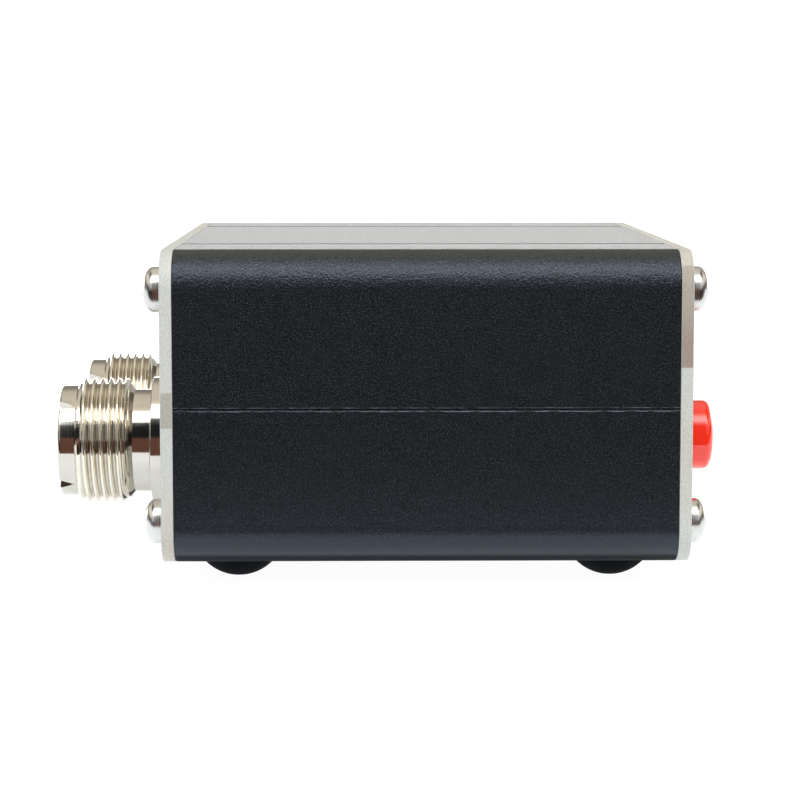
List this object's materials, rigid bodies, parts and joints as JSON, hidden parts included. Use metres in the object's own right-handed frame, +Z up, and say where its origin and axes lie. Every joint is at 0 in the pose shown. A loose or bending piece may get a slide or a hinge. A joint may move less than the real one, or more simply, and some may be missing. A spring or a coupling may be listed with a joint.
{
  "type": "swr power meter",
  "caption": "Pocket standing-wave and power meter in a split extruded case with coaxial sockets, push button and small display.",
  "frame": {"origin": "middle of the overall footprint, at the table under the feet", "axes": "+Z up, +Y out of the coaxial sockets, -Y out of the front panel, +X to the right seen from the front"},
  "size_m": [0.088, 0.0814, 0.0403],
  "materials": {
    "case_black": "matte",
    "panel_bare": "satin",
    "screw_nickel": "polished",
    "foot_rubber": "satin",
    "socket_nickel": "polished",
    "washer_steel": "satin",
    "insulator_white": "satin",
    "contact_gold": "polished",
    "button_red": "gloss",
    "switch_white": "satin",
    "switch_black": "satin",
    "switch_tan": "matte",
    "spring_steel": "satin",
    "window_smoke": "gloss",
    "display_glass": "gloss",
    "board_blue": "satin",
    "board_green": "satin",
    "ferrite": "matte",
    "copper": "gloss",
    "line_white": "satin",
    "chip_black": "matte",
    "diode_glass": "gloss",
    "capacitor_can": "gloss",
    "battery_foil": "satin",
    "foam_cream": "matte",
    "lead_red": "satin",
    "lead_black": "satin",
    "plug_cream": "satin"
  },
  "bodies": {
    "case": {"upper_shell": "case_black", "lower_shell": "case_black", "front_panel": "panel_bare", "rear_panel": "panel_bare", "front_panel_screws": "screw_nickel", "rear_panel_screws": "screw_nickel", "display_screws": "screw_nickel", "foot_front_left": "foot_rubber", "foot_front_right": "foot_rubber", "foot_rear_left": "foot_rubber", "foot_rear_right": "foot_rubber", "transmitter_socket_shell": "socket_nickel", "antenna_socket_shell": "socket_nickel", "transmitter_socket_nut": "socket_nickel", "antenna_socket_nut": "socket_nickel", "transmitter_socket_washer": "washer_steel", "antenna_socket_washer": "washer_steel", "transmitter_socket_insulator": "insulator_white", "antenna_socket_insulator": "insulator_white", "transmitter_socket_contact": "contact_gold", "antenna_socket_contact": "contact_gold", "transmitter_socket_lug": "contact_gold", "antenna_socket_lug": "contact_gold", "display_pins": "contact_gold", "display_spacers": "contact_gold", "switch_housing": "switch_black", "display_header": "switch_black", "charging_socket_tongue": "switch_black", "switch_base": "switch_tan", "switch_spring": "spring_steel", "switch_latch_pin": "spring_steel", "switch_terminals": "spring_steel", "charging_socket_shell": "spring_steel", "display_window": "window_smoke", "display_glass": "display_glass", "display_board": "board_blue", "main_board": "board_green", "forward_core": "ferrite", "reflected_core": "ferrite", "forward_winding": "copper", "reflected_winding": "copper", "through_line": "line_white", "sense_line": "line_white", "controller_chip": "chip_black", "charger_chip": "chip_black", "boost_inductor": "chip_black", "load_resistors": "chip_black", "detector_diodes": "diode_glass", "storage_capacitor": "capacitor_can", "battery": "battery_foil", "battery_pad": "foam_cream", "battery_lead_positive": "lead_red", "battery_lead_negative": "lead_black", "battery_plug": "plug_cream", "battery_plug_header": "plug_cream"},
    "button": {"button_cap": "button_red", "switch_plunger": "switch_white"}
  },
  "joints": [
    {"name": "power_button", "type": "slide", "parent": "case", "child": "button", "axis": [0, 1, 0], "range_m": [0, 0.0022], "stiffness_N_per_m": 900, "springref_m": -0.001, "deforming": ["switch_spring"]}
  ]
}
